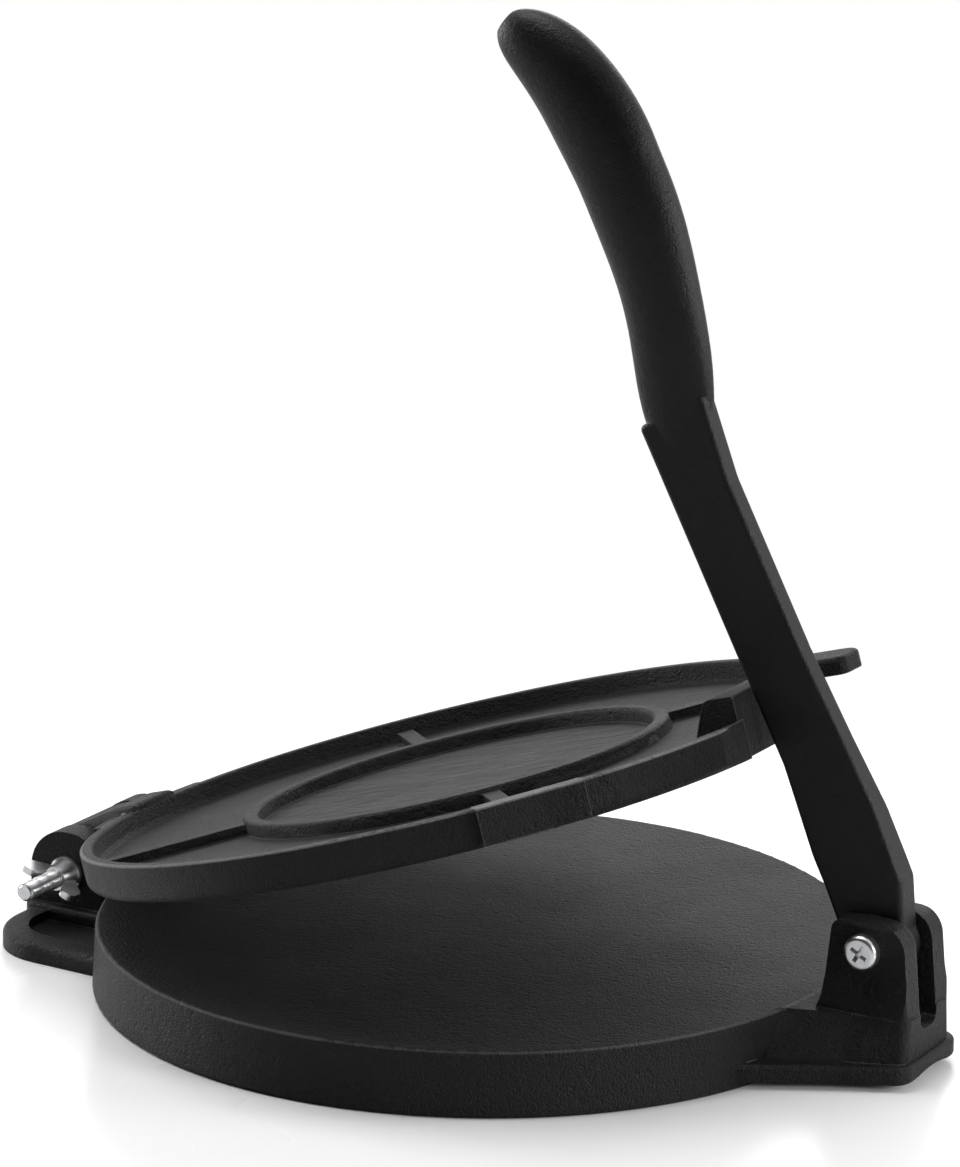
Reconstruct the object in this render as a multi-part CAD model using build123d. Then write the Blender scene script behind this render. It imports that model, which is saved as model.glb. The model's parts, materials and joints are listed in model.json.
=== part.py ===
from build123d import *
import os
from math import acos, atan2, cos, degrees, hypot, radians, sin, sqrt

# A cast-iron tortilla press, in millimetres and degrees.
# Origin: centre of the round base, on the table. +X points at the lever, +Z up, -Y is the front.
# It stands as it is left on a table: the upper plate is part open and the lever leans towards it.
# The upper plate is drawn closed, and the lever upright, and both are then turned about their screws.

# ---- driving dimensions: base casting
BASE_TOP_RADIUS = 104.6       # edge of the lower press face
BASE_FLARE = 0.9              # the edge widens by this much towards the table
BASE_HEIGHT = 18.0            # table to press face
BASE_SKIN = 6.5               # thickness of iron under the press face
BASE_RIM_WALL = 7.0           # wall round the hollow underside
BASE_RIB_WIDTH = 6.0          # the two crossed ribs in the hollow
BASE_RIB_LIFT = 3.0           # the ribs stop this far above the table
EDGE_ROUND = 1.2              # rounding that the sand casting leaves on edges

# ---- driving dimensions: hinge end of the base
HINGE_REACH = 15.8            # from the upper plate's rim out to the hinge screw
HINGE_Z = 16.5
HINGE_EAR_RADIUS = 12.0       # round top of each hinge ear
HINGE_EAR_THICKNESS = 8.0
HINGE_SLOT_WIDTH = 27.0       # between the two ears
HINGE_SLOT_FLOOR = 3.2
HINGE_FOOT_REACH = 11.4       # the stabilising foot reaches this far past the screw
HINGE_FOOT_HALF_WIDTH = 50.5
HINGE_FOOT_CORNER = 20.0
HINGE_FOOT_HEIGHT = 5.5       # height of the raised border round the foot
HINGE_FOOT_FLOOR = 3.0        # thickness of the foot inside its border
HINGE_FOOT_BORDER = 6.5
HINGE_STEP = 3.0              # the block under the ears stands out this far
HINGE_BLOCK_HEIGHT = 7.0

# ---- driving dimensions: clevis end of the base
LEVER_REACH = 26.2            # from the face of the pad on the upper plate out to the lever's screw
LEVER_Z = 35.0
CLEVIS_EAR_THICKNESS = 6.5    # where the screw goes through
CLEVIS_EAR_FLARE = 1.8        # the ears thicken outwards by this much at their root
CLEVIS_SLOT_WIDTH = 10.0
CLEVIS_SLOT_FLOOR = 13.5
CLEVIS_SLOT_ROUND = 3.5       # at the bottom corners of the slot
CLEVIS_TOP = 43.0
CLEVIS_INNER_REACH = 12.0     # from the screw to the edge of the ears on the plate's side, at the root
CLEVIS_OUTER_REACH = 13.9     # from the screw to the outer face of the ears, at the root
CLEVIS_LEAN = 2.6             # the ears narrow by this much from root to top, on each edge
CLEVIS_ROOT_X = 90.0          # inside the round base
CLEVIS_ROOT_HALF_WIDTH = 40.0  # of the lug there, at the table
CLEVIS_ROOT_NARROWING = 18.0  # each side is this much narrower at the press face
CLEVIS_LIFT = 1.5             # the lug stops this far above the table
CLEVIS_FLANGE_HEIGHT = 5.2
CLEVIS_FLANGE_STEP = 1.6
CLEVIS_ARCH_HEIGHT = 1.6      # the underside of its outer end is hollowed by this much

# ---- driving dimensions: upper plate, drawn closed
PLATE_EDGE_INSET = 2.0        # its edge lies this much inside the edge of the lower press face
PLATE_X = -2.6                # its centre, which lies a little towards the hinge
PLATE_HEIGHT = 10.6           # press face to top of the rim
PLATE_SKIN = 5.0
PLATE_RIM_WALL = 3.4          # at the top, the inside leans out
PLATE_RIM_DRAFT = 1.2
PLATE_CLOSED_GAP = 0.3
PLATE_OPEN_ANGLE = 16.85
RING_RADIUS = 57.5            # middle of the inner stiffening ring
RING_WIDTH = 4.0
RING_HEIGHT = 8.8             # press face to top of the ring
RIB_WIDTH = 4.5
RIB_HEIGHT = 7.6              # press face to top of the ribs
RIB_COUNT = 4
RIB_FIRST_ANGLE = 40.0
PAD_HEIGHT = 17.0             # press face to top of the pad that the lever bears on
PAD_DEPTH = 9.0
PAD_FACE_INSET = 4.5          # the pad's flat outer face, which the lever stands against, inside the rim
PAD_NEAR_Y = -10.5
RIM_FLAT = 2.8                # the rim is flattened by this much where the lever passes
TAB_NEAR_Y = 14.0             # clears the clevis ear when the plate is closed
TAB_WIDTH = 14.0
TAB_HEIGHT = 19.0             # press face to top of the lifting tab
TAB_REACH = 21.1              # from the pad's outer face to the tip of the tab
TAB_THICKNESS = 4.8
GATE_ANGLE = -46.5            # where the flat left by the casting gate lies on the rim
GATE_WIDTH = 29.0
GATE_PROUD = 1.6
GATE_DEPTH = 6.0
LUG_RADIUS = 11.8             # round end of the hinge lug
LUG_SIDE_CLEARANCE = 0.35
LUG_CROWN = 1.8               # its rounded top stands this far over the rim
LUG_CROWN_ROUND = 6.0
LUG_ROOT_HALF_WIDTH = 26.0    # where the lug spreads on to the rim
LUG_SPREAD_START = 13.5       # distance of the spread from the screw, outside the ears

# ---- driving dimensions: lever, drawn upright over its screw
LEVER_REST_GAP = 1.46         # the bar stops this far short of the open plate's pad
BAR_FRONT = -5.6              # front face of the bar, seen from the screw
BAR_WIDTH = 18.7
BAR_THICKNESS = 7.0
BAR_LENGTH = 148.2            # screw to the notch under the handle
BOSS_RADIUS = 8.8             # round the screw
BOSS_SIDE_CLEARANCE = 0.3
BOSS_FRONT = -7.8             # front face of the thick end
BOSS_BULGE = 2.0              # its back stands this far behind the bar's
BOSS_LENGTH = 18.0            # the thick end reaches this far above the screw
BOSS_FRONT_LENGTH = 27.0      # its front face ends here
TAPER_LENGTH = 52.0           # and all of it has thinned to the bar here
HANDLE_LENGTH = 111.0
HANDLE_WIDTH = 26.0           # at its fullest
HANDLE_THICKNESS = 17.0

# ---- driving dimensions: fasteners
SCREW_DIAMETER = 5.0
SCREW_CLEARANCE = 0.05        # radial
HEAD_DIAMETER = 9.5
HEAD_HEIGHT = 3.3
HEAD_ROUND = 1.4
RECESS_WIDTH = 1.1
RECESS_SPAN = 5.0
RECESS_DEPTH = 1.8
WASHER_DIAMETER = 10.0
WASHER_THICKNESS = 1.0
HINGE_SCREW_TAIL = 20.0       # thread that shows outside the hinge washer
LEVER_SCREW_TAIL = 5.5
WING_HUB_DIAMETER = 8.6
WING_HUB_HEIGHT = 5.0
WING_SPAN = 18.6
WING_THICKNESS = 2.0
WING_RISE = 9.5               # hub face to the wings' outer ends
NUT_ACROSS_FLATS = 8.0
NUT_HEIGHT = 4.0

# ---- what follows from them
PRESS_FACE = BASE_HEIGHT + PLATE_CLOSED_GAP
PLATE_RADIUS = BASE_TOP_RADIUS - PLATE_EDGE_INSET
HINGE_X = PLATE_X - PLATE_RADIUS - HINGE_REACH
HINGE_FOOT_X = HINGE_X - HINGE_FOOT_REACH
PAD_FACE_X = PLATE_X + PLATE_RADIUS - PAD_FACE_INSET
TAB_TIP_X = PAD_FACE_X + TAB_REACH
LEVER_X = PAD_FACE_X + LEVER_REACH
CLEVIS_INNER_X = LEVER_X - CLEVIS_INNER_REACH
CLEVIS_OUTER_X = LEVER_X + CLEVIS_OUTER_REACH
HINGE_OUTER_Y = HINGE_SLOT_WIDTH / 2 + HINGE_EAR_THICKNESS
CLEVIS_OUTER_Y = CLEVIS_SLOT_WIDTH / 2 + CLEVIS_EAR_THICKNESS
BORE_RADIUS = SCREW_DIAMETER / 2 + SCREW_CLEARANCE
HINGE_AXIS = Axis((HINGE_X, 0, HINGE_Z), (0, 1, 0))
LEVER_AXIS = Axis((LEVER_X, 0, LEVER_Z), (0, 1, 0))
TALL = 1.5 * (BASE_TOP_RADIUS + CLEVIS_TOP)  # longer than anything it cuts


def outline(points, radii, plane):
    """Closed outline with one corner radius for each point, as a face on a plane."""
    return plane * make_face(FilletPolyline(*points, radius=radii, close=True))


def slab(points, radii, bottom, top):
    """Solid with a plan outline, between two heights."""
    return extrude(outline(points, radii, Plane.XY.offset(bottom)), top - bottom)


def side_slab(points, radii, near, far):
    """Solid with a side outline (X, Z), between two places along Y."""
    plane = Plane((0, near, 0), x_dir=(1, 0, 0), z_dir=(0, -1, 0))
    return extrude(outline(points, radii, plane), near - far)


def mirrored_slab(half, radii, bottom, top):
    """Plan outline given for the +Y half, mirrored in the X axis."""
    other = [(x, -y) for x, y in reversed(half)]
    return slab(half + other, radii + radii[::-1], bottom, top)


def pin(x, z, radius, near, far):
    """Round bar along Y."""
    length = far - near
    return Pos(x, (near + far) / 2, z) * Rot(X=90) * Cylinder(radius, length)


def ring_of_revolution(points, radii):
    """Turned solid from an outline in (radius, height)."""
    return revolve(outline(points, radii, Plane.XZ), Axis.Z)


# ---- base casting

def base_disc():
    under = BASE_HEIGHT - BASE_SKIN
    inner = BASE_TOP_RADIUS + BASE_FLARE - BASE_RIM_WALL
    points = [(0, under), (inner - 1, under), (inner, 0), (BASE_TOP_RADIUS + BASE_FLARE, 0),
              (BASE_TOP_RADIUS, BASE_HEIGHT), (0, BASE_HEIGHT)]
    disc = ring_of_revolution(points, [0, 3, 0.5, EDGE_ROUND, EDGE_ROUND, 0])
    return disc


def base_ribs():
    length = 2 * (BASE_TOP_RADIUS - BASE_RIM_WALL / 2)
    height = BASE_HEIGHT - BASE_SKIN - BASE_RIB_LIFT + 1
    low = Pos(0, 0, BASE_RIB_LIFT + height / 2)
    return low * (Box(length, BASE_RIB_WIDTH, height) + Box(BASE_RIB_WIDTH, length, height))


def hinge_foot():
    """Wide foot with a raised border, so that the open plate can't tip the press over."""
    inside = -sqrt(BASE_TOP_RADIUS ** 2 - HINGE_FOOT_HALF_WIDTH ** 2) + 3
    plan = [(inside, HINGE_FOOT_HALF_WIDTH + 1), (HINGE_FOOT_X, HINGE_FOOT_HALF_WIDTH - 1)]
    foot = mirrored_slab(plan, [0, HINGE_FOOT_CORNER], 0, HINGE_FOOT_HEIGHT)
    top = foot.faces().sort_by(Axis.Z)[-1]
    rounded = top.edges().filter_by(lambda e: e.center().X < inside - 1)
    foot = fillet(rounded, 2.0)
    b = HINGE_FOOT_BORDER
    half = HINGE_FOOT_HALF_WIDTH - b
    pocket = [(inside + 10, half + 1), (HINGE_FOOT_X + b, half - 2)]
    tray = mirrored_slab(pocket, [0, HINGE_FOOT_CORNER - b], HINGE_FOOT_FLOOR, HINGE_FOOT_HEIGHT + 1)
    return foot - tray


def hinge_block():
    """Block under and between the ears, stepped out a little at their foot."""
    inside = -BASE_TOP_RADIUS + 8
    y = HINGE_OUTER_Y + HINGE_STEP
    outer = HINGE_X - HINGE_EAR_RADIUS - HINGE_STEP / 2
    block = slab([(inside, -y), (outer, -y), (outer, y), (inside, y)], [0, 4, 4, 0], 0, HINGE_BLOCK_HEIGHT)
    top = block.faces().sort_by(Axis.Z)[-1]
    return fillet(top.edges().filter_by(lambda e: e.center().X < inside - 1), 1.5)


def hinge_ear_outline():
    r = HINGE_EAR_RADIUS
    inside = -BASE_TOP_RADIUS + 7
    left = HINGE_X - r
    right = HINGE_X + r
    shoulder = BASE_HEIGHT - 1
    points = [(left, 1), (left, HINGE_Z + r), (right, HINGE_Z + r), (right, shoulder), (inside, shoulder),
              (inside, 1)]
    return points, [0, r * 0.96, r * 0.9, 0, 0, 0]


def hinge_ears():
    points, radii = hinge_ear_outline()
    inner = HINGE_SLOT_WIDTH / 2
    near = side_slab(points, radii, -HINGE_OUTER_Y, -inner)
    far = side_slab(points, radii, inner, HINGE_OUTER_Y)
    return near, far


def clevis_lug():
    """Lug that runs out of the round base, widest at the table, with a flange along its foot."""
    x0, x1 = CLEVIS_ROOT_X, CLEVIS_OUTER_X
    wide, end = CLEVIS_ROOT_HALF_WIDTH, CLEVIS_OUTER_Y + CLEVIS_EAR_FLARE
    narrow = wide - CLEVIS_ROOT_NARROWING
    flush = LEVER_X                # from here out its sides are in line with the ears
    mid = end + (wide - end) * (x1 - flush) / (x1 - x0)
    low = outline([(x0, -wide), (flush, -mid), (x1, -end - 0.8), (x1, end + 0.8), (flush, mid), (x0, wide)],
                  [0, 30, 4, 4, 30, 0], Plane.XY.offset(CLEVIS_LIFT))
    high = outline([(x0, -narrow), (flush, -end), (x1, -end), (x1, end), (flush, end), (x0, narrow)],
                   [0, 30, 3, 3, 30, 0], Plane.XY.offset(BASE_HEIGHT))
    body = loft([low, high], ruled=True)
    s = CLEVIS_FLANGE_STEP
    half = [(x0, wide + s), (flush, mid + s), (x1 + s, end + 0.8 + s)]
    flange = mirrored_slab(half, [0, 30, 6], CLEVIS_LIFT, CLEVIS_FLANGE_HEIGHT + CLEVIS_LIFT)
    edges = flange.edges().filter_by(Plane.XY).filter_by(lambda e: e.center().X > x0 + 1)
    return body + fillet(edges, 1.2)


def clevis_end_view():
    """Outline of the pair of ears seen from the end, thicker at the root, without the slot."""
    wide, half = CLEVIS_OUTER_Y + CLEVIS_EAR_FLARE, CLEVIS_OUTER_Y
    under, straight = BASE_HEIGHT - 3, LEVER_Z - WASHER_DIAMETER / 2 - 2.5
    right = [(wide, under), (wide, BASE_HEIGHT), (half, straight), (half, CLEVIS_TOP)]
    left = [(-y, z) for y, z in reversed(right)]
    return right + left, [0, 12, 12, 1.8, 1.8, 12, 12, 0]


def clevis_ears():
    """The two ears, before the slot between them is cut."""
    a, b, lean = CLEVIS_INNER_X, CLEVIS_OUTER_X, CLEVIS_LEAN
    under = BASE_HEIGHT - 3
    points = [(a - 1.5, under), (a + 0.5, BASE_HEIGHT + 3), (a + lean, CLEVIS_TOP - 0.9),
              (a + lean + 9, CLEVIS_TOP), (b - lean, CLEVIS_TOP - 0.8), (b, under)]
    wide = CLEVIS_OUTER_Y + CLEVIS_EAR_FLARE
    side = side_slab(points, [0, 6, 3.0, 12, 7.5, 0], wide, -wide)
    end_view, radii = clevis_end_view()
    plan = mirrored_slab([(a - 3, wide), (b, wide)], [0, 3], under, CLEVIS_TOP)
    return side & plan & extrude(outline(end_view, radii, Plane.YZ), TALL)


def clevis_slot():
    """Slot for the lever, round at the bottom corners, with a sloping inner end."""
    half = CLEVIS_SLOT_WIDTH / 2
    start, end = LEVER_X - BOSS_RADIUS - 4.5, CLEVIS_OUTER_X + 9
    points = [(-half, CLEVIS_SLOT_FLOOR), (half, CLEVIS_SLOT_FLOOR), (half, TALL), (-half, TALL)]
    r = CLEVIS_SLOT_ROUND
    view = outline(points, [r, r, 0, 0], Plane.YZ.offset(start))
    return extrude(view, end - start)


def make_base_plate():
    body = base_disc() + base_ribs() + hinge_foot() + hinge_block() + clevis_lug()
    body -= Pos(0, 0, BASE_HEIGHT + TALL / 2) * Cylinder(BASE_TOP_RADIUS + 40, TALL)
    for ear in hinge_ears():
        body += ear
    body += clevis_ears()
    # the press face stays clear inside the ears
    body -= Pos(0, 0, BASE_HEIGHT + TALL / 2) * Cylinder(BASE_TOP_RADIUS - 1, TALL)
    half = HINGE_SLOT_WIDTH / 2
    slot_end = -sqrt(BASE_TOP_RADIUS ** 2 - half ** 2) - 0.6
    slot = [(HINGE_FOOT_X - 5, -half), (slot_end, -half), (slot_end, half), (HINGE_FOOT_X - 5, half)]
    body -= slab(slot, 0, HINGE_SLOT_FLOOR, TALL)
    body -= clevis_slot()
    arch_radius = (CLEVIS_OUTER_Y ** 2 + CLEVIS_ARCH_HEIGHT ** 2) / (2 * CLEVIS_ARCH_HEIGHT)
    arch_z = CLEVIS_LIFT + CLEVIS_ARCH_HEIGHT - arch_radius
    body -= Pos(CLEVIS_OUTER_X, 0, arch_z) * Rot(Y=90) * Cylinder(arch_radius, 26)
    for x, z in ((HINGE_X, HINGE_Z), (LEVER_X, LEVER_Z)):
        body -= pin(x, z, BORE_RADIUS, -60, 60)
    return body


# ---- upper plate casting, drawn closed

def plate_disc():
    r = PLATE_RADIUS
    low, floor, top = PRESS_FACE, PRESS_FACE + PLATE_SKIN, PRESS_FACE + PLATE_HEIGHT
    wall = PLATE_RIM_WALL
    points = [(0, low), (r, low), (r, top), (r - wall, top), (r - wall - PLATE_RIM_DRAFT, floor), (0, floor)]
    return Pos(X=PLATE_X) * ring_of_revolution(points, [0, 2.4, 1.0, 1.0, 1.5, 0])


def plate_ring():
    floor, top = PRESS_FACE + PLATE_SKIN, PRESS_FACE + RING_HEIGHT
    half = RING_WIDTH / 2
    r = RING_RADIUS
    points = [(r - half - 0.8, floor - 1), (r + half + 0.8, floor - 1), (r + half, top), (r - half, top)]
    return ring_of_revolution(points, [0, 0, 1.2, 1.2])


def plate_ribs():
    """Ribs between the inner ring and the rim, evenly spaced."""
    floor, top = PRESS_FACE + PLATE_SKIN, PRESS_FACE + RIB_HEIGHT
    start, end = RING_RADIUS, PLATE_RADIUS - PLATE_RIM_WALL - abs(PLATE_X)
    bar = Box(end - start + 3, RIB_WIDTH, top - floor + 1)
    bar = Pos((start + end) / 2, 0, (floor + top) / 2 - 0.5) * bar
    return [Rot(Z=RIB_FIRST_ANGLE + turn * 360 / RIB_COUNT) * bar for turn in range(RIB_COUNT)]


def press_pad():
    """Raised pad that the lever bears on, with the lifting tab beyond it on the far side."""
    outer, inner = PAD_FACE_X, PAD_FACE_X - PAD_DEPTH
    far = TAB_NEAR_Y + TAB_WIDTH
    low, high = PRESS_FACE + PLATE_SKIN - 1, PRESS_FACE + PAD_HEIGHT
    side = [(inner - 6, low), (inner, high), (outer, high), (outer, low)]
    block = side_slab(side, [0, 3, 0.8, 0], PAD_NEAR_Y, far)
    top = PRESS_FACE + TAB_HEIGHT
    plan = [(inner + 3, TAB_NEAR_Y), (TAB_TIP_X, TAB_NEAR_Y), (TAB_TIP_X, far), (inner + 3, far)]
    tab = slab(plan, [0, 2.5, 6, 0], top - TAB_THICKNESS, top)
    ends = tab.edges().filter_by(lambda e: e.center().X > TAB_TIP_X - 8 and abs(e.center().Z - top) < 0.01)
    return block, fillet(ends, 1.2)


def gate_pad():
    """Flat left on the rim where the casting gate was broken off and ground."""
    face = PLATE_RADIUS + GATE_PROUD - 0.8
    low, top = PRESS_FACE + 0.6, PRESS_FACE + PLATE_HEIGHT
    block = Pos(face - GATE_DEPTH / 2, 0, (low + top) / 2) * Box(GATE_DEPTH, GATE_WIDTH, top - low)
    return Pos(X=PLATE_X) * Rot(Z=GATE_ANGLE) * block


def hinge_lug():
    """Arm from the rim to the hinge screw, spreading where it meets the rim."""
    half = HINGE_SLOT_WIDTH / 2 - LUG_SIDE_CLEARANCE
    r = LUG_RADIUS
    top = PRESS_FACE + PLATE_HEIGHT
    low = PRESS_FACE + 0.5
    inside = PLATE_X - PLATE_RADIUS + PLATE_RIM_WALL
    left, right = HINGE_X - r, HINGE_X + r
    crown = top + LUG_CROWN
    side = [(left, HINGE_Z - r), (left, HINGE_Z + r), (HINGE_X + 2, HINGE_Z + r), (right + 2, crown),
            (inside, crown), (inside, low), (right, low), (right, HINGE_Z - r)]
    arm = side_slab(side, [r * 0.95, r * 0.95, 6, 6, 1, 0, 0, r * 0.95], -half, half)
    end_view = [(-half, 0), (half, 0), (half, crown), (-half, crown)]
    rounds = [0, 0, LUG_CROWN_ROUND, LUG_CROWN_ROUND]
    arm = arm & extrude(outline(end_view, rounds, Plane.YZ), -TALL)
    start = HINGE_X + LUG_SPREAD_START
    plan = [(inside, LUG_ROOT_HALF_WIDTH), (inside - 3, LUG_ROOT_HALF_WIDTH), (start, half + 1)]
    spread = mirrored_slab(plan, [0, 0, 0], low + 2.5, top - 0.3)
    return arm, spread


def make_upper_plate():
    body = plate_disc() + plate_ring()
    for rib in plate_ribs():
        body += rib
    block, tab = press_pad()
    arm, spread = hinge_lug()
    for piece in (block, spread, arm, gate_pad()):
        body += piece
    # the rim and the pad's outer face are flat where the lever passes
    body -= Pos(PLATE_X + PLATE_RADIUS - RIM_FLAT + 20, 0, PRESS_FACE + 20) * Box(40, PLATE_RADIUS, 60)
    body -= Pos(PAD_FACE_X + 20, 0, PRESS_FACE + 20) * Box(40, 2 * abs(PAD_NEAR_Y), 60)
    body += tab
    body -= pin(HINGE_X, HINGE_Z, BORE_RADIUS, -60, 60)
    return body.rotate(HINGE_AXIS, -PLATE_OPEN_ANGLE)


# ---- lever casting, drawn upright with its screw at the origin of (along, across)

def lever_bar():
    half = CLEVIS_SLOT_WIDTH / 2 - BOSS_SIDE_CLEARANCE
    back = BAR_FRONT + BAR_WIDTH
    r = BOSS_RADIUS
    side = [(-r, -r), (-r, r * 0.4), (BOSS_FRONT, BOSS_LENGTH), (BOSS_FRONT, BOSS_FRONT_LENGTH),
            (BAR_FRONT, TAPER_LENGTH), (BAR_FRONT, BAR_LENGTH), (back + 3, BAR_LENGTH + 3),
            (back, BAR_LENGTH - 22), (back, 1.5 * TAPER_LENGTH), (back + BOSS_BULGE, BOSS_FRONT_LENGTH + 5),
            (back + 1, r + 4), (r, 0), (r, -r)]
    radii = [r * 0.95, 4, 8, 12, 12, 1.5, 2, 25, 40, 20, 5, 3, r * 0.88]
    profile = side_slab(side, radii, -half, half)
    thin = BAR_THICKNESS / 2
    tip = BAR_LENGTH + 9
    edge = [(-half, -r - 1), (half, -r - 1), (half, BOSS_LENGTH), (thin, TAPER_LENGTH), (thin, tip),
            (-thin, tip), (-thin, TAPER_LENGTH), (-half, BOSS_LENGTH)]
    front = extrude(outline(edge, [0, 0, 6, 12, 0, 0, 12, 6], Plane.YZ), 40, both=True)
    bar = profile & front
    long_edges = bar.edges().filter_by(lambda e: e.length > 20 and e.center().Z > 30)
    return fillet(long_edges, 1.6)


def handle_sections():
    """Height over the screw, middle across, slope, and width and thickness as shares of the fullest."""
    top = BAR_LENGTH + HANDLE_LENGTH
    return [(BAR_LENGTH - 12, 3.6, 0.20, 0.62, 0.40), (BAR_LENGTH - 4, 4.8, 0.27, 0.74, 0.50),
            (BAR_LENGTH + 5, 7.6, 0.27, 0.84, 0.62),
            (BAR_LENGTH + 22, 12.9, 0.22, 0.86, 0.80), (BAR_LENGTH + 42, 16.7, 0.10, 0.92, 0.93),
            (BAR_LENGTH + 64, 17.9, -0.02, 0.97, 1.0), (BAR_LENGTH + 80, 16.9, -0.15, 0.98, 1.0),
            (top - 18, 13.9, -0.34, 0.89, 0.91), (top - 8, 9.4, -0.43, 0.73, 0.75),
            (top - 2.5, 5.8, -0.50, 0.52, 0.52), (top, 4.0, -0.50, 0.30, 0.28)]


def lever_handle():
    faces = []
    for along, across, slope, width, thickness in handle_sections():
        plane = Plane((across, 0, along), x_dir=(1, 0, -slope), z_dir=(slope, 0, 1))
        faces.append(plane * Ellipse(HANDLE_WIDTH * width / 2, HANDLE_THICKNESS * thickness / 2))
    return loft(faces)


def lever_lean():
    """Angle from upright at which the bar stands just short of the open plate's pad."""
    opened = radians(PLATE_OPEN_ANGLE)
    along, up = PAD_FACE_X - HINGE_X, PRESS_FACE + PAD_HEIGHT - HINGE_Z
    x = HINGE_X + along * cos(opened) - up * sin(opened) - LEVER_X
    z = HINGE_Z + along * sin(opened) + up * cos(opened) - LEVER_Z
    return degrees(atan2(z, x) - acos((BAR_FRONT - LEVER_REST_GAP) / hypot(x, z)))


def make_press_lever():
    body = lever_bar() + lever_handle()
    body -= pin(0, 0, BORE_RADIUS, -20, 20)
    body = Pos(LEVER_X, 0, LEVER_Z) * body
    return body.rotate(LEVER_AXIS, -lever_lean())


# ---- fasteners, drawn along +Z from the seat under the head, then laid along Y

def pan_screw(length):
    head = Pos(0, 0, -HEAD_HEIGHT / 2) * Cylinder(HEAD_DIAMETER / 2, HEAD_HEIGHT)
    head = fillet(head.edges().group_by(Axis.Z)[0], HEAD_ROUND)
    bar = Box(RECESS_SPAN, RECESS_WIDTH, RECESS_DEPTH) + Box(RECESS_WIDTH, RECESS_SPAN, RECESS_DEPTH)
    head -= Pos(0, 0, -HEAD_HEIGHT + RECESS_DEPTH / 2) * bar
    shank = Pos(0, 0, length / 2) * Cylinder(SCREW_DIAMETER / 2, length)
    shank = chamfer(shank.edges().group_by(Axis.Z)[-1], 0.6)
    return head + shank


def flat_washer():
    return Pos(0, 0, WASHER_THICKNESS / 2) * (Cylinder(WASHER_DIAMETER / 2, WASHER_THICKNESS)
                                              - Cylinder(BORE_RADIUS, WASHER_THICKNESS))


def wing_outline():
    """One wing: (across, along), rising from the hub to a round end."""
    hub = WING_HUB_DIAMETER / 2
    end = WING_SPAN / 2
    return [(0, 1.0), (hub - 0.5, 1.0), (end, WING_RISE - 4.2), (end, WING_RISE), (hub + 0.6, WING_RISE),
            (hub - 1.0, WING_HUB_HEIGHT), (0, WING_HUB_HEIGHT)]


def wing_nut():
    hub_top = Pos(0, 0, WING_HUB_HEIGHT) * Circle(WING_HUB_DIAMETER / 2 - 0.9)
    hub = loft([Circle(WING_HUB_DIAMETER / 2), hub_top])
    radii = [0, 0, 1.8, 2.0, 1.8, 0.4, 0]
    plane = Plane((0, WING_THICKNESS / 2, 0), x_dir=(1, 0, 0), z_dir=(0, -1, 0))
    wing = extrude(outline(wing_outline(), radii, plane), WING_THICKNESS)
    body = hub + wing + wing.mirror(Plane.YZ)
    return body - Pos(0, 0, WING_HUB_HEIGHT) * Cylinder(BORE_RADIUS, 4 * WING_HUB_HEIGHT)


def hex_nut():
    body = extrude(RegularPolygon(NUT_ACROSS_FLATS / 2, 6, major_radius=False), NUT_HEIGHT)
    return body - Cylinder(BORE_RADIUS, 4 * NUT_HEIGHT)


def laid(shape, x, y, z, towards, turn=0):
    """Lay a fastener along Y: towards is +1 or -1, the way its +Z points."""
    return Pos(x, y, z) * Rot(X=-90 * towards) * Rot(Z=turn) * shape


def make_fasteners():
    hinge_grip = 2 * HINGE_OUTER_Y
    lever_grip = 2 * CLEVIS_OUTER_Y
    nut_y = HINGE_OUTER_Y + WASHER_THICKNESS
    lever_nut_y = CLEVIS_OUTER_Y + WASHER_THICKNESS
    return {
        "hinge_screw": laid(pan_screw(hinge_grip + WASHER_THICKNESS + HINGE_SCREW_TAIL),
                            HINGE_X, HINGE_OUTER_Y, HINGE_Z, -1, 20),
        "hinge_washer": laid(flat_washer(), HINGE_X, -HINGE_OUTER_Y, HINGE_Z, -1),
        "hinge_wing_nut": laid(wing_nut(), HINGE_X, -nut_y, HINGE_Z, -1, -22),
        "lever_screw": laid(pan_screw(lever_grip + WASHER_THICKNESS + LEVER_SCREW_TAIL),
                            LEVER_X, -CLEVIS_OUTER_Y, LEVER_Z, 1, 30),
        "lever_washer": laid(flat_washer(), LEVER_X, CLEVIS_OUTER_Y, LEVER_Z, 1),
        "lever_nut": laid(hex_nut(), LEVER_X, lever_nut_y, LEVER_Z, 1, 30),
    }


def main():
    os.makedirs("parts", exist_ok=True)
    nodes = {
        "base_plate": make_base_plate(),
        "upper_plate": make_upper_plate(),
        "press_lever": make_press_lever(),
    }
    nodes.update(make_fasteners())
    for name, shape in nodes.items():
        box = shape.bounding_box()
        print(f"{name}: {len(shape.solids())} solid, {shape.volume / 1000:.1f} cm3, "
              f"x {box.min.X:.1f}..{box.max.X:.1f} y {box.min.Y:.1f}..{box.max.Y:.1f} "
              f"z {box.min.Z:.1f}..{box.max.Z:.1f}")
        export_step(shape, f"parts/{name}.step")


main()
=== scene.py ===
# %% [markdown]
# # A cast iron tortilla press
# The object is a small hand press for flattening balls of dough: a heavy round base, an upper plate
# hinged at one side, and a lever hinged at the other that bears down on the closed plate.
# Everything is cast iron with a baked-on oil finish, apart from the two screws with their nuts and
# washers, which are zinc plated.
# The CAD frame already holds every solid in its place, in metres. This file gives the solids their
# look: it joins each casting into one skin, winds the threads on the screws, and builds the
# finishes from nodes.

import json
import math

import bmesh
import bpy
from mathutils import Matrix, Vector


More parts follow.
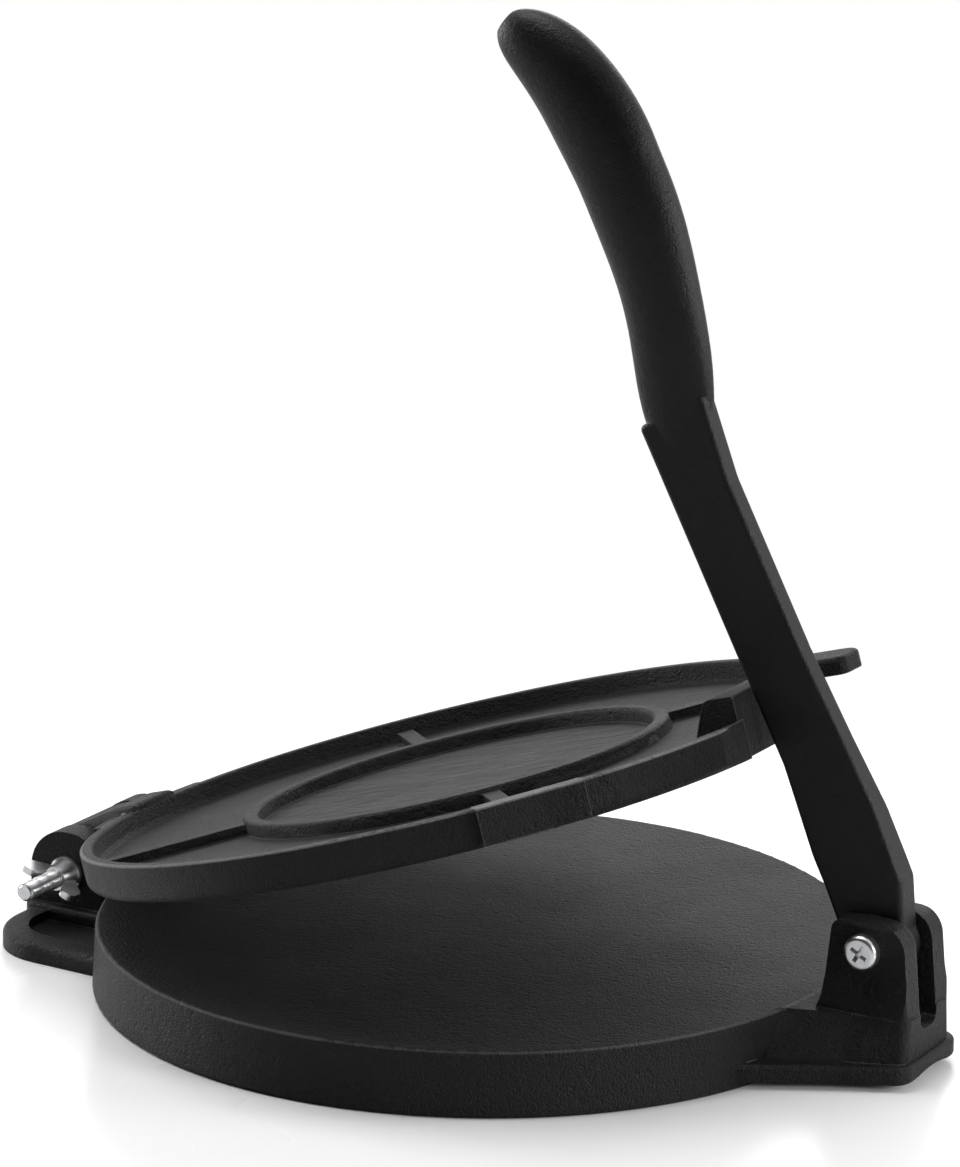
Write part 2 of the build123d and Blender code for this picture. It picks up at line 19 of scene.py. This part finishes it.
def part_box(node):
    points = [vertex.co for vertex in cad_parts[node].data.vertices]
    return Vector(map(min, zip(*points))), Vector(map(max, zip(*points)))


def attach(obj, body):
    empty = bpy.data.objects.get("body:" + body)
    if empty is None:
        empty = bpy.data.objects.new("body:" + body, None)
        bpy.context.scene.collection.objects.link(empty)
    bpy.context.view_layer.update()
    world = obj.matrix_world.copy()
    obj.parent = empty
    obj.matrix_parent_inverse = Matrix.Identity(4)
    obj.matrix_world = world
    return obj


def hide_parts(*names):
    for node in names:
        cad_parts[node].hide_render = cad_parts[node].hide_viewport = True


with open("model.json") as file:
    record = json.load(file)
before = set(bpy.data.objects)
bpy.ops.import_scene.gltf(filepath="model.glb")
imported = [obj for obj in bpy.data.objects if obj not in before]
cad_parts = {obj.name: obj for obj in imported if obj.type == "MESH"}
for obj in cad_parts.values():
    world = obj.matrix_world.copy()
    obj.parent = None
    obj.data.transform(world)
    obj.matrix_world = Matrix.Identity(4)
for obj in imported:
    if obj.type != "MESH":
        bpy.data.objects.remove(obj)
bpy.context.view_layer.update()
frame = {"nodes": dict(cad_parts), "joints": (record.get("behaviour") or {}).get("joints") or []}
nodes = frame["nodes"]
MM = 0.001

# %% [markdown]
# ## The camera
# The photograph was taken from a little above, turned about thirty degrees towards the lever, from
# one and a half metres away. A long lens gives the same mild perspective. The camera is rolled
# under a degree, as the photograph is. It could be turned by hand until the pictures agree, but
# here its place is worked out from the angles, so that each of them can be changed by itself.

# %% Camera
DISTANCE = 1.5
AZIMUTH = math.radians(29.5545)
ELEVATION = math.radians(19.1978)
ROLL = math.radians(0.8825)
TARGET = Vector((-1.3156, 0.0, 113.3674)) * MM
PHOTO_WIDTH, PHOTO_HEIGHT = 960, 1167
CENTRE_PIXEL = (479.923, 583.471)
FOCAL_PIXELS = 5456.97
SENSOR_MM = 36
FAR_CLIP = 50

eye = DISTANCE * Vector(
    (
        math.sin(AZIMUTH) * math.cos(ELEVATION),
        -math.cos(AZIMUTH) * math.cos(ELEVATION),
        math.sin(ELEVATION),
    )
)
forward = (TARGET - eye).normalized()
level_right = forward.cross(Vector((0, 0, 1))).normalized()
level_up = level_right.cross(forward)
right = math.cos(ROLL) * level_right + math.sin(ROLL) * level_up
up = math.cos(ROLL) * level_up - math.sin(ROLL) * level_right

camera_data = bpy.data.cameras.new("camera")
camera = bpy.data.objects.new("camera", camera_data)
bpy.context.scene.collection.objects.link(camera)
turn = Matrix((right, up, -forward)).transposed()
camera.matrix_world = Matrix.Translation(eye) @ turn.to_4x4()
camera_data.sensor_width = SENSOR_MM
camera_data.lens = FOCAL_PIXELS / PHOTO_HEIGHT * SENSOR_MM
camera_data.shift_x = (PHOTO_WIDTH / 2 - CENTRE_PIXEL[0]) / PHOTO_HEIGHT
camera_data.shift_y = (CENTRE_PIXEL[1] - PHOTO_HEIGHT / 2) / PHOTO_HEIGHT
camera_data.clip_end = FAR_CLIP
bpy.context.scene.camera = camera
bpy.context.scene.view_settings.view_transform = "Standard"
print("lens", round(camera_data.lens, 2), "mm from", [round(v, 3) for v in eye])

# %% [markdown]
# ## Writing shader maths
# A finish is a small sum: some noise, a threshold, a mix of two colours. Wiring it node by node
# hides the sum, so one class wraps a node's output socket and takes the ordinary operators. Each
# operator adds one Math node. Colours and vectors don't go through Math nodes, which would turn
# them grey, but through Mix and Vector Math.


# %% Values as sockets
class Sock:
    """A shader value that can be added, multiplied and compared."""

    def __init__(self, paint, socket):
        self.paint = paint
        self.socket = socket

    def _math(self, operation, *values):
        return self.paint.node("ShaderNodeMath", {"operation": operation}, *values)

    def __add__(self, other):
        return self._math("ADD", self, other)

    def __radd__(self, other):
        return self._math("ADD", other, self)

    def __sub__(self, other):
        return self._math("SUBTRACT", self, other)

    def __rsub__(self, other):
        return self._math("SUBTRACT", other, self)

    def __mul__(self, other):
        return self._math("MULTIPLY", self, other)

    def __rmul__(self, other):
        return self._math("MULTIPLY", other, self)

    def above(self, low, high):
        """0 below low, 1 above high, and a smooth step between."""
        smooth = {"interpolation_type": "SMOOTHSTEP"}
        return self.paint.node("ShaderNodeMapRange", smooth, self, low, high, 0.0, 1.0)

    def part(self, name):
        """Another output of the same node."""
        return Sock(self.paint, self.socket.node.outputs[name])


print("values take + - * and above()")

# %% [markdown]
# ## Adding nodes
# Any other node comes from one method, which sets the node up first and then fills its inputs, by
# order or by name, with numbers, colours or other sockets. The short calls after it are the nodes
# that this object's finishes use again and again. The same class serves the world's nodes, and a
# material adds its shader and its last step.


# %% Paint and finish
# Two directions whose dot product is over the second number point the same way.
SAME_WAY = (0.8, 0.98)
ROUND_SAMPLES = 6


class Paint:
    """A node tree and the short calls that build its nodes."""

    def __init__(self, tree):
        self.tree = tree
        self.place = self.node("ShaderNodeTexCoord").part("Object")

    def put(self, socket, value):
        """Links a Sock into a socket, or sets the socket's constant."""
        if isinstance(value, Sock):
            self.tree.links.new(value.socket, socket)
        elif socket.type == "RGBA":
            socket.default_value = (*value, 1)
        else:
            socket.default_value = value

    def node(self, kind, settings=None, *values, **named):
        """Adds a node: its settings first, then its inputs by order or by name."""
        made = self.tree.nodes.new(kind)
        for key, value in (settings or {}).items():
            setattr(made, key, value)
        for socket, value in zip([s for s in made.inputs if s.enabled], values):
            self.put(socket, value)
        for key, value in named.items():
            self.put(made.inputs[key.replace("_", " ")], value)
        return Sock(self, next(s for s in made.outputs if s.enabled))

    def vector(self, operation, *values):
        """A Vector Math node that gives a vector."""
        return self.node("ShaderNodeVectorMath", {"operation": operation}, *values).part("Vector")

    def number(self, operation, *values):
        """A Vector Math node that gives one number, such as a length."""
        return self.node("ShaderNodeVectorMath", {"operation": operation}, *values).part("Value")

    def along(self, axis, place):
        """How far a place lies along X, Y or Z."""
        return self.node("ShaderNodeSeparateXYZ", None, place).part(axis)

    def noise(self, per_mm, detail=3.0, roughness=0.5, where=None):
        """Noise with this many features to a millimetre, from 0 to 1."""
        return self.node(
            "ShaderNodeTexNoise",
            Vector=where or self.place,
            Scale=per_mm / MM,
            Detail=detail,
            Roughness=roughness,
        )

    def mix(self, share, dark, light):
        """One colour turning into another."""
        return self.node("ShaderNodeMix", {"data_type": "RGBA"}, share, dark, light)

    def rounded(self, millimetres):
        """Normals that bend as if the sharp edges had this radius."""
        return self.node("ShaderNodeBevel", {"samples": ROUND_SAMPLES}, millimetres * MM)

    def edges(self, millimetres):
        """1 on the sharp edges and 0 on the flats, from how far the rounded normal turns."""
        true = self.node("ShaderNodeNewGeometry").part("Normal")
        agree = self.number("DOT_PRODUCT", self.rounded(millimetres), true)
        return 1 - agree.above(*SAME_WAY)

    def bump(self, height, millimetres, over=None):
        """A surface height in millimetres, on top of another bump."""
        made = self.node(
            "ShaderNodeBump", Height=height, Distance=millimetres * MM, Strength=1.0
        )
        if over:
            self.put(made.socket.node.inputs["Normal"], over)
        return made


class Finish(Paint):
    """A new material, and the call that fills its shader."""

    def __init__(self, name):
        self.material = bpy.data.materials.new(name)
        self.material.use_nodes = True
        super().__init__(self.material.node_tree)
        self.shader = self.tree.nodes["Principled BSDF"]

    def made_of(self, **inputs):
        """Sets the shader's inputs and returns the material."""
        for key, value in inputs.items():
            self.put(self.shader.inputs[key.replace("_", " ")], value)
        return self.material


print("paint and finish are ready")

# %% [markdown]
# ## Seasoned cast iron
# Iron poured into a sand mould keeps the print of the sand: a fine even grain, with soft lumps and
# a few larger pits. Baked oil darkens it to a soft black that is thicker in some places than in
# others, and is rubbed to a sheen on the high grains and to bare grey on the edges. The grey on the
# edges is partly wear and partly a painted highlight. The grain could be displaced geometry, but
# that takes millions of triangles, so it is a bump made of three noises.
# Black iron reflects weakly when it is seen straight on, so its specular level is low.

# %% Cast iron
SAND = {"per_mm": 1.7, "detail": 3.0, "roughness": 0.6}
LUMPS = {"per_mm": 0.32, "detail": 3.0, "roughness": 0.6}
PITS = {"per_mm": 0.55, "detail": 2.0}
CLOUD = {"per_mm": 0.03, "detail": 4.0, "roughness": 0.6}
# Shares of the grain's depth, and the noise levels between which each thing sets in.
LUMP_SHARE = 0.35
PIT_SHARE = 0.3
PIT_EDGE = (0.28, 0.46)
OIL_EDGE = (0.32, 0.68)
HIGH_GRAINS = (0.52, 0.78)
WEAR_AND_HIGHLIGHT_PATCHES = (0.2, 0.55)
# How strong a rim's grey line is, partly wear and partly a painted highlight.
RIM_WEAR_AND_HIGHLIGHT = 0.45
RIM_GRAIN = 0.5
POLISH = 0.12
DULLNESS = 0.25
THIN_OIL = (0.004, 0.004, 0.0041)
THICK_OIL = (0.008, 0.0081, 0.0082)
RUBBED_OIL = (0.010, 0.010, 0.0101)
# The grey of the edges stands for wear and for a painted highlight.
WORN_AND_HIGHLIT_EDGE_GREY = (0.2, 0.2, 0.197)
IRON_SPECULAR = 0.16
CAST_ROUND_MM = 0.6
WEAR_AND_HIGHLIGHT_ROUND_MM = 0.45


def cast_iron(name, grain_mm=0.75, roughness=0.5, worn=1.0, relief=None, rim=None):
    """Oiled iron. relief adds heights, and rim says where a rim is worn and has a painted
    highlight.
    """
    paint = Finish(name)
    sand = paint.noise(**SAND)
    lumps = paint.noise(**LUMPS)
    pits = paint.noise(**PITS)
    cloud = paint.noise(**CLOUD)
    height = sand + lumps * LUMP_SHARE + pits.above(*PIT_EDGE) * PIT_SHARE
    base = paint.rounded(CAST_ROUND_MM)
    if relief:
        base = relief(paint, base)
    oiled = paint.mix(cloud.above(*OIL_EDGE), THIN_OIL, THICK_OIL)
    rubbed = sand.above(*HIGH_GRAINS) * worn
    # The grey on the edges and rims is partly wear and partly a painted highlight.
    edge = paint.edges(WEAR_AND_HIGHLIGHT_ROUND_MM) * cloud.above(*WEAR_AND_HIGHLIGHT_PATCHES)
    if rim:
        edge = edge + rim(paint) * (RIM_WEAR_AND_HIGHLIGHT + sand * RIM_GRAIN)
    return paint.made_of(
        Base_Color=paint.mix(edge, paint.mix(rubbed, oiled, RUBBED_OIL), WORN_AND_HIGHLIT_EDGE_GREY),
        Roughness=roughness - rubbed * POLISH + (cloud - 0.5) * DULLNESS,
        Specular_IOR_Level=IRON_SPECULAR,
        Normal=paint.bump(height, grain_mm, base),
    )


smooth_iron = cast_iron("cast_iron_handle", grain_mm=0.16, roughness=0.4, worn=0.6)
print("made", smooth_iron.name)

# %% [markdown]
# ## The rubbed and highlit rims
# Hands, and the other plate, rub the outer top corner of both round plates down to grey metal. The
# grey line there is also a painted highlight, standing in for the light that the rounded corner
# catches. The line could be painted on, but a round plate's corner is simply the places at one
# radius and at one height. So the line is the product of two bands, one in each, and it stays on
# the corner.

# %% Rubbed rims and painted highlights
BASE_RADIUS = 104.6 * MM
BASE_TOP = 18.0 * MM
# How strong the grey line on the base's corner is, as wear and as a painted highlight.
BASE_RUBBING_AND_HIGHLIGHT = 0.4
# Each pair is where a band starts and where it is full or gone, measured from the corner.
BAND_OUTWARD = (1.2 * MM, 0.5 * MM)
BAND_UPWARD = (0.9 * MM, 0.4 * MM)
BAND_PAST = (0.2 * MM, 0.6 * MM)


def band(value, corner, reach):
    """1 just short of the corner, 0 well short of it and past it."""
    start, full = reach
    last, gone = BAND_PAST
    past = value.above(corner + last, corner + gone)
    return value.above(corner - start, corner - full) * (1 - past)


def flattened(paint, place):
    """A place with its height taken out."""
    return paint.vector("MULTIPLY", place, (1, 1, 0))


def rim_line(paint, across, height, radius, top):
    """1 on the outer top corner of a round plate."""
    out = paint.number("LENGTH", across)
    return band(out, radius, BAND_OUTWARD) * band(height, top, BAND_UPWARD)


def base_rim(paint):
    """Where the base's top corner is rubbed grey and has a painted highlight."""
    across = flattened(paint, paint.place)
    height = paint.along("Z", paint.place)
    return rim_line(paint, across, height, BASE_RADIUS, BASE_TOP) * BASE_RUBBING_AND_HIGHLIGHT


iron = cast_iron("cast_iron_seasoned", rim=base_rim)
print("made", iron.name)

# %% [markdown]
# ## The plate lies at an angle
# The upper plate stands part open, so its rim and ring are tilted circles. Rather than work with
# tilted circles, the finish turns every place back about the hinge screw, as if the plate lay
# closed, and measures from the plate's centre. The hinge and its angle are the frame's own.

# %% Plate coordinates
PLATE_CENTRE = Vector((-2.6, 0, 26.0)) * MM
plate_hinge = next(joint for joint in frame["joints"] if joint["name"] == "plate_hinge")
HINGE = Vector(plate_hinge["pos_m"])
OPEN_ANGLE = math.radians(-plate_hinge["range_deg"][0])


def plate_flat(paint):
    """Places on the plate as if it lay closed: from its centre, and their height over the table."""
    lying = paint.node(
        "ShaderNodeVectorRotate",
        {"rotation_type": "Y_AXIS"},
        Vector=paint.place,
        Center=HINGE,
        Angle=OPEN_ANGLE,
    )
    return paint.vector("SUBTRACT", lying, PLATE_CENTRE), paint.along("Z", lying)


print("the plate is", round(math.degrees(OPEN_ANGLE), 2), "degrees open about", tuple(HINGE))

# %% [markdown]
# ## The plate's bare places
# The plate's rim is rubbed on its outer top corner, as the base is, and the same grey line is also
# a painted highlight. On its front, towards the lever, is the gate, where the iron ran in. It was
# broken off and its top was ground to bare metal; the light grey on that top is partly this bare
# metal and partly a painted highlight. A ground patch has a sharp edge, so it is a short step in
# the distance from the gate's middle, kept to the height of its top.

# %% Plate rim
PLATE_RADIUS = 102.6 * MM
PLATE_TOP = 28.9 * MM
GATE = Vector((68.8, -72.5, 0.0)) * MM
GATE_REACH = (14.5 * MM, 15.5 * MM)
GATE_FACE = (28.2 * MM, 28.7 * MM)


def plate_rim(paint):
    """Where the plate is rubbed or ground bare, and where a highlight is painted on its rim and
    gate.
    """
    flat, height = plate_flat(paint)
    across = flattened(paint, flat)
    line = rim_line(paint, across, height, PLATE_RADIUS, PLATE_TOP)
    from_gate = paint.number("DISTANCE", across, GATE)
    # The gate's top is painted light grey, as ground bare metal and as a painted highlight.
    gate_top = (1 - from_gate.above(*GATE_REACH)) * height.above(*GATE_FACE)
    return (line + gate_top).above(0.0, 1.0)


print("rim at", round(PLATE_RADIUS / MM, 1), "mm, gate at", [round(v / MM, 1) for v in GATE], "mm")

# %% [markdown]
# ## The rough places on the plate
# Inside the ring on top of the plate the casting was never dressed, so it keeps soft lumps that
# run in rows. Beside the gate the rim was ground in short strokes. Both are heights in the plate's
# material, on top of each other and under the sand grain. The lumps' noise is stretched along the
# rows by squeezing the coordinates that it reads.

# %% Plate relief
RING_REACH = (51.5 * MM, 55.5 * MM)
RING_FLOOR = (20 * MM, 22 * MM)
ROWS = (0.35, 1, 1)
RING_LUMPS = {"per_mm": 0.11, "detail": 4.0, "roughness": 0.62}
UNDRESSED_MM = 4.8
SCAR = Vector((80.0, -62.0, 0.0)) * MM
SCAR_REACH = (4 * MM, 13 * MM)
STROKES = {"per_mm": 0.3, "detail": 3.0, "roughness": 0.7}
STROKE_MM = 4.0


def plate_relief(paint, base):
    """The undressed lumps in the ring and the ground strokes, on top of the base normals."""
    flat, height = plate_flat(paint)
    across = flattened(paint, flat)
    lumps = paint.noise(**RING_LUMPS, where=paint.vector("MULTIPLY", flat, ROWS))
    from_centre = paint.number("LENGTH", across)
    in_ring = (1 - from_centre.above(*RING_REACH)) * height.above(*RING_FLOOR)
    undressed = paint.bump(lumps * in_ring, UNDRESSED_MM, base)
    from_scar = paint.number("DISTANCE", across, SCAR)
    ground = (1 - from_scar.above(*SCAR_REACH)) * paint.noise(**STROKES)
    return paint.bump(ground, STROKE_MM, undressed)


plate_iron = cast_iron("cast_iron_plate", grain_mm=1.1, relief=plate_relief, rim=plate_rim)
print("made", plate_iron.name)

# %% [markdown]
# ## Zinc plate
# The screws are steel with a bright zinc coat. It is a metal, so its colour is in its reflection.
# Fine scratches and a slow cloudiness, in colour and in roughness, keep it from looking like
# chrome. Nothing here follows an edge, because the fasteners are small and evenly plated.

# %% Zinc
DULL_ZINC = (0.50, 0.51, 0.53)
BRIGHT_ZINC = (0.68, 0.68, 0.68)
ZINC_ROUGHNESS = 0.24
ZINC_DULLNESS = 0.14
SCRATCH_MM = 0.006


def zinc_plate(name):
    """A bright plated metal with fine scratches."""
    paint = Finish(name)
    cloud = paint.noise(0.35, detail=3.0)
    scratches = paint.noise(6.0, detail=2.0)
    return paint.made_of(
        Base_Color=paint.mix(cloud, DULL_ZINC, BRIGHT_ZINC),
        Metallic=1.0,
        Roughness=ZINC_ROUGHNESS + cloud * ZINC_DULLNESS,
        Normal=paint.bump(scratches, SCRATCH_MM),
    )


zinc = zinc_plate("zinc_plate")
print("made", zinc.name)

# %% [markdown]
# ## Joined skins
# The three castings come from the frame as loose triangles, each with its own corners, so nothing
# can be shaded smoothly across them. Each casting is copied, its corners are merged, and the
# triangles of a flat are dissolved into one face. Normals weighted by area keep the flats flat
# beside the curved places. The small round that a sand mould leaves on every corner is in the
# material, because it is far smaller than the casting is wide.

# %% Joined skins
MERGE_WITHIN = 2e-6
FLAT_WITHIN = math.radians(0.4)
SHARP_OVER = math.radians(34)
AREA_WEIGHT = 100


def joined_skin(node, material, body):
    """One casting as a joined skin, in place of its CAD node."""
    skin = bmesh.new()
    skin.from_mesh(nodes[node].data)
    bmesh.ops.remove_doubles(skin, verts=skin.verts, dist=MERGE_WITHIN)
    triangles = len(skin.faces)
    bmesh.ops.dissolve_limit(skin, angle_limit=FLAT_WITHIN, verts=skin.verts, edges=skin.edges)
    mesh = bpy.data.meshes.new(node + "_skin")
    skin.to_mesh(mesh)
    skin.free()
    mesh.set_sharp_from_angle(angle=SHARP_OVER)
    mesh.polygons.foreach_set("use_smooth", [True] * len(mesh.polygons))
    mesh.materials.append(material)
    piece = bpy.data.objects.new(node + "_skin", mesh)
    bpy.context.scene.collection.objects.link(piece)
    weighted = piece.modifiers.new("weighted", "WEIGHTED_NORMAL")
    weighted.keep_sharp = True
    weighted.weight = AREA_WEIGHT
    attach(piece, body)
    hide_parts(node)
    print(node, triangles, "triangles ->", len(mesh.polygons), "faces")


joined_skin("base_plate", iron, "base")
joined_skin("upper_plate", plate_iron, "plate")
joined_skin("press_lever", smooth_iron, "lever")

# %% [markdown]
# ## The thread's rule
# The CAD screws have plain shanks. A thread is one ridge wound along a helix, so Geometry Nodes
# suit it: a spiral curve carries a small three-sided profile. The radius, height, pitch and ridge
# are inputs of the tree, so the same tree makes both screws' threads.

# %% Thread tree
THREAD_SIZES = {"Radius": 2.5, "Height": 10.0, "Pitch": 0.8, "Ridge": 0.3}
STEPS_PER_TURN = 20
RIDGE_SIDES = 3


def thread_tree(material):
    tree = bpy.data.node_groups.new("screw_thread", "GeometryNodeTree")
    for name, millimetres in THREAD_SIZES.items():
        socket = tree.interface.new_socket(name, in_out="INPUT", socket_type="NodeSocketFloat")
        socket.default_value = millimetres * MM
    tree.interface.new_socket("Geometry", in_out="OUTPUT", socket_type="NodeSocketGeometry")
    add, link = tree.nodes.new, tree.links.new
    size = add("NodeGroupInput").outputs
    turns = add("ShaderNodeMath")
    turns.operation = "DIVIDE"
    spiral = add("GeometryNodeCurveSpiral")
    spiral.inputs["Resolution"].default_value = STEPS_PER_TURN
    profile = add("GeometryNodeCurvePrimitiveCircle")
    profile.inputs["Resolution"].default_value = RIDGE_SIDES
    ridge = add("GeometryNodeCurveToMesh")
    ridge.inputs["Fill Caps"].default_value = True
    real = add("GeometryNodeRealizeInstances")
    plated = add("GeometryNodeSetMaterial")
    plated.inputs["Material"].default_value = material
    link(size["Height"], turns.inputs[0])
    link(size["Pitch"], turns.inputs[1])
    link(turns.outputs[0], spiral.inputs["Rotations"])
    link(size["Radius"], spiral.inputs["Start Radius"])
    link(size["Radius"], spiral.inputs["End Radius"])
    link(size["Height"], spiral.inputs["Height"])
    link(size["Ridge"], profile.inputs["Radius"])
    link(spiral.outputs[0], ridge.inputs["Curve"])
    link(profile.outputs[0], ridge.inputs["Profile Curve"])
    link(ridge.outputs[0], real.inputs[0])
    link(real.outputs[0], plated.inputs["Geometry"])
    link(plated.outputs[0], add("NodeGroupOutput").inputs[0])
    return tree


thread = thread_tree(zinc)
print("thread tree has", len(thread.nodes), "nodes")

# %% [markdown]
# ## Winding the threads
# Each thread starts a little inside the open end of its screw, as if the end were chamfered. The
# hinge screw's runs in through the wing nut, and the lever screw's as far as its nut. The ridge's
# middle lies just under the shank's surface, so that only its crest stands out. The places come
# from the boxes of the screws and nuts, and the result is made a plain mesh at once.

# %% Threads
RIDGE_RADIUS = 2.42 * MM
END_CHAMFER = 0.3 * MM


def threaded(name, body, centre, length, along):
    """A thread ridge on a shank, from its open end inwards. along is +1 or -1 on Y."""
    holder = bpy.data.objects.new(name + "_holder", bpy.data.meshes.new(name + "_empty"))
    bpy.context.scene.collection.objects.link(holder)
    winding = holder.modifiers.new("thread", "NODES")
    winding.node_group = thread
    sockets = {item.name: item.identifier for item in thread.interface.items_tree}
    winding[sockets["Height"]] = length
    winding[sockets["Radius"]] = RIDGE_RADIUS
    graph = bpy.context.evaluated_depsgraph_get()
    mesh = bpy.data.meshes.new_from_object(holder.evaluated_get(graph))
    holder.modifiers.remove(winding)
    bpy.data.objects.remove(holder)
    turned = Matrix.Rotation(math.radians(-90 * along), 4, "X")
    mesh.transform(Matrix.Translation(centre) @ turned)
    piece = bpy.data.objects.new(name, mesh)
    bpy.context.scene.collection.objects.link(piece)
    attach(piece, body)
    print(name, len(mesh.polygons), "faces over", round(length / MM, 2), "mm")


def on_axis(screw, y):
    """The point on a screw's axis at this y."""
    low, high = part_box(screw)
    return Vector(((low[0] + high[0]) / 2, y, (low[2] + high[2]) / 2))


hinge_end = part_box("hinge_screw")[0][1]
hub_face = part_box("hinge_wing_nut")[1][1]
hinge_start = on_axis("hinge_screw", hinge_end + END_CHAMFER)
threaded("hinge_thread", "base", hinge_start, hub_face - hinge_end, 1)

lever_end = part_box("lever_screw")[1][1]
nut_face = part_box("lever_nut")[1][1]
lever_start = on_axis("lever_screw", lever_end - END_CHAMFER)
threaded("lever_thread", "base", lever_start, lever_end - nut_face, -1)

# %% [markdown]
# ## Zinc on the fasteners
# The CAD solids of the screws, washers and nuts already have the right shape, so they stay, and
# only their material changes.

# %% Zinc on the fasteners
for name, solid in nodes.items():
    if name.startswith(("hinge_", "lever_")):
        solid.data.materials.clear()
        solid.data.materials.append(zinc)
        print("zinc on", name)

# %% [markdown]
# ## The floor
# The photograph's floor is white away from the press, and near it a pale gloss that keeps the
# shadow. A larger lamp would burn the whole floor out, shadow and all. So the floor's material
# turns into a plain white glow with the distance from the press, and only for rays that look at
# the floor or see it reflected, which leaves the light on the press as it is.

# %% Floor
FLOOR_HALF = 20
FLOOR_COLOUR = (0.93, 0.93, 0.93)
FLOOR_ROUGHNESS = 0.24
FLOOR_DULLNESS = 0.08
FLOOR_CLOUD_PER_MM = 0.01
WHITE_FROM = (0.17, 0.36)


def floor_mesh(half):
    mesh = bpy.data.meshes.new("floor")
    corners = [(-half, -half, 0), (half, -half, 0), (half, half, 0), (-half, half, 0)]
    mesh.from_pydata(corners, [], [(0, 1, 2, 3)])
    return mesh


def seen(paint):
    """1 for rays from the camera and for reflected or refracted ones, 0 for soft light."""
    rays = paint.node("ShaderNodeLightPath")
    direct, glossy, through = (
        rays.part(kind) for kind in ("Is Camera Ray", "Is Glossy Ray", "Is Transmission Ray")
    )
    return (direct + glossy + through).above(0.0, 1.0)


def floor_finish(name):
    """A pale gloss that turns into a white glow away from the press."""
    paint = Finish(name)
    cloud = paint.noise(FLOOR_CLOUD_PER_MM)
    paint.made_of(Base_Color=FLOOR_COLOUR, Roughness=FLOOR_ROUGHNESS + cloud * FLOOR_DULLNESS)
    away = paint.number("LENGTH", paint.place)
    white = paint.node("ShaderNodeEmission", None, (1, 1, 1), 1.0)
    gloss = Sock(paint, paint.shader.outputs[0])
    share = away.above(*WHITE_FROM) * seen(paint)
    blend = paint.node("ShaderNodeMixShader", None, share, gloss, white)
    paint.put(paint.tree.nodes["Material Output"].inputs["Surface"], blend)
    return paint.material


floor = bpy.data.objects.new("floor", floor_mesh(FLOOR_HALF))
bpy.context.scene.collection.objects.link(floor)
floor.data.materials.append(floor_finish("studio_floor"))
print("floor is", [round(v) for v in floor.dimensions], "metres")

# %% [markdown]
# ## The backdrop
# Black iron shows almost nothing but its reflections, which are weak on faces seen straight on and
# strong on faces seen at a slant. The studio is white behind the press and at its sides, which
# greys the tops and the slanted faces. It is nearly dark on the camera's side, which keeps the
# fronts black. The camera itself sees plain white everywhere, and soft light is half as strong as
# reflections are.

# %% World
WORLD_SOFT = 0.5
FRONT_GLOW = 0.04
FRONT_TO_BACK = (-0.7, 0.15)

world = bpy.data.worlds.new("studio")
bpy.context.scene.world = world
world.use_nodes = True
air = Paint(world.node_tree)
sky = air.tree.nodes["Background"]
air.put(sky.inputs["Color"], (1, 1, 1))
towards_back = air.along("Y", air.place.part("Generated"))
backdrop = FRONT_GLOW + (1 - FRONT_GLOW) * towards_back.above(*FRONT_TO_BACK)
lit = backdrop * (WORLD_SOFT + (1 - WORLD_SOFT) * seen(air))
from_camera = air.node("ShaderNodeLightPath").part("Is Camera Ray")
air.put(sky.inputs["Strength"], lit + (1 - lit) * from_camera)
print("world has", len(air.tree.nodes), "nodes")

# %% [markdown]
# ## The lamps
# Each lamp is a soft box with a task. The overhead one lights the floor, the ring and the base's
# far top. The back one makes the sheen on the plates, the left one the base's side, and the two on
# the right the light strips along the handle and the clevis.

# %% Lamps
LAMP_AIM = Vector((0, 0, 0.1))
# Name: place, width and height, all in metres, and power in watts.
LAMPS = {
    "overhead": ((-0.45, 0.0, 1.45), (0.8, 0.8), 15),
    "back": ((-0.5, 1.5, 0.8), (1.2, 0.6), 7),
    "left": ((-1.5, 0.1, 0.35), (0.6, 0.6), 9),
    "right": ((1.5, -0.05, 0.45), (0.45, 0.4), 12),
    "right_back": ((1.3, 0.8, 0.6), (0.5, 0.7), 10),
}

for name, (place, size, power) in LAMPS.items():
    light = bpy.data.lights.new(name, "AREA")
    light.shape = "RECTANGLE"
    light.size, light.size_y = size
    light.energy = power
    lamp = bpy.data.objects.new(name, light)
    bpy.context.scene.collection.objects.link(lamp)
    lamp.location = place
    aim = LAMP_AIM - Vector(place)
    lamp.rotation_euler = aim.to_track_quat("-Z", "Y").to_euler()
print("lamps:", ", ".join(LAMPS))
